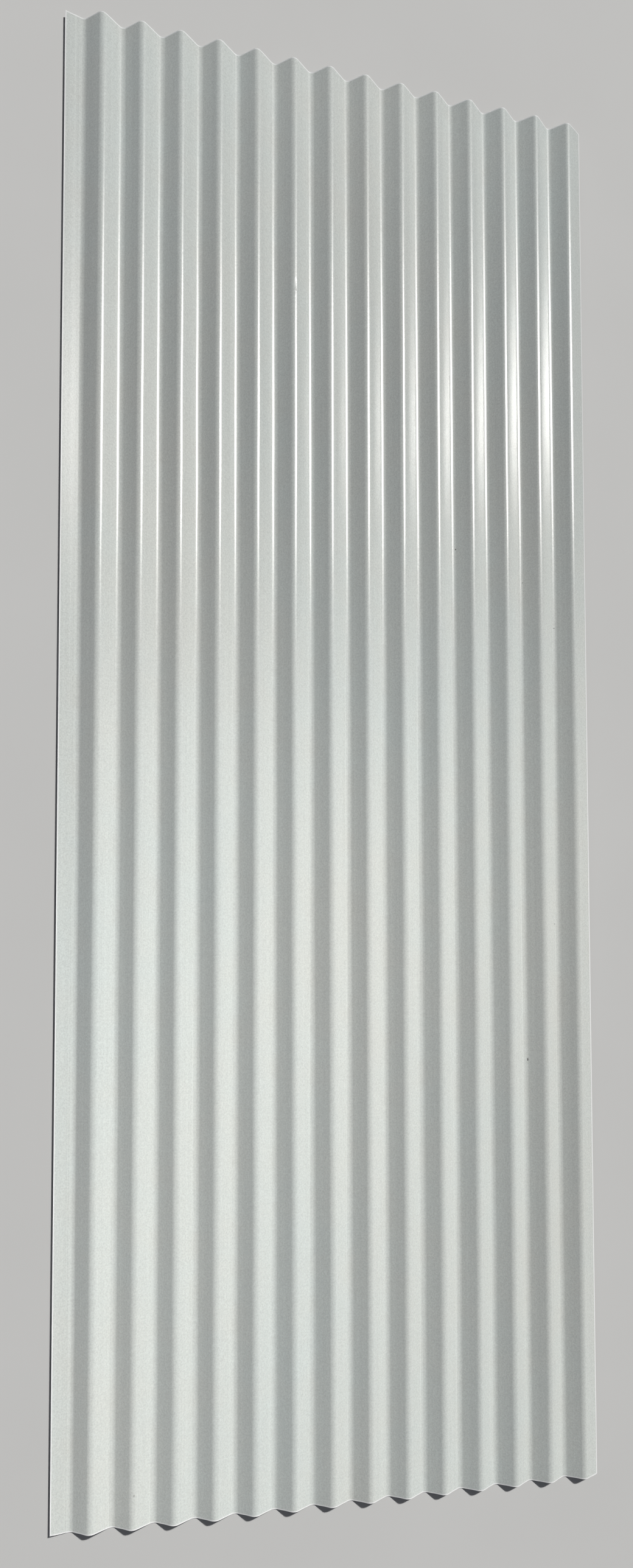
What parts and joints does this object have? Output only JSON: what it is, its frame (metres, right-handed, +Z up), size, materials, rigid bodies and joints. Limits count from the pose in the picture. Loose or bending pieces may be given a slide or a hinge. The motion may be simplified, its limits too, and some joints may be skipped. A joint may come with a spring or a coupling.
{
  "type": "corrugated metal sheet",
  "caption": "Pre-painted corrugated steel roofing sheet with rounded waves along its length and a flatter lap leg on each side.",
  "frame": {"origin": "middle of the footprint, level with the underside of the valleys", "axes": "+X across the waves towards the steeper side lap, +Y along the waves, +Z up out of the painted face"},
  "size_m": [0.9146, 2.4384, 0.0159],
  "materials": {
    "painted_steel": "satin off-white coil coat with a fine grain"
  },
  "bodies": {
    "root": {"corrugated_sheet": "painted_steel"}
  },
  "joints": []
}
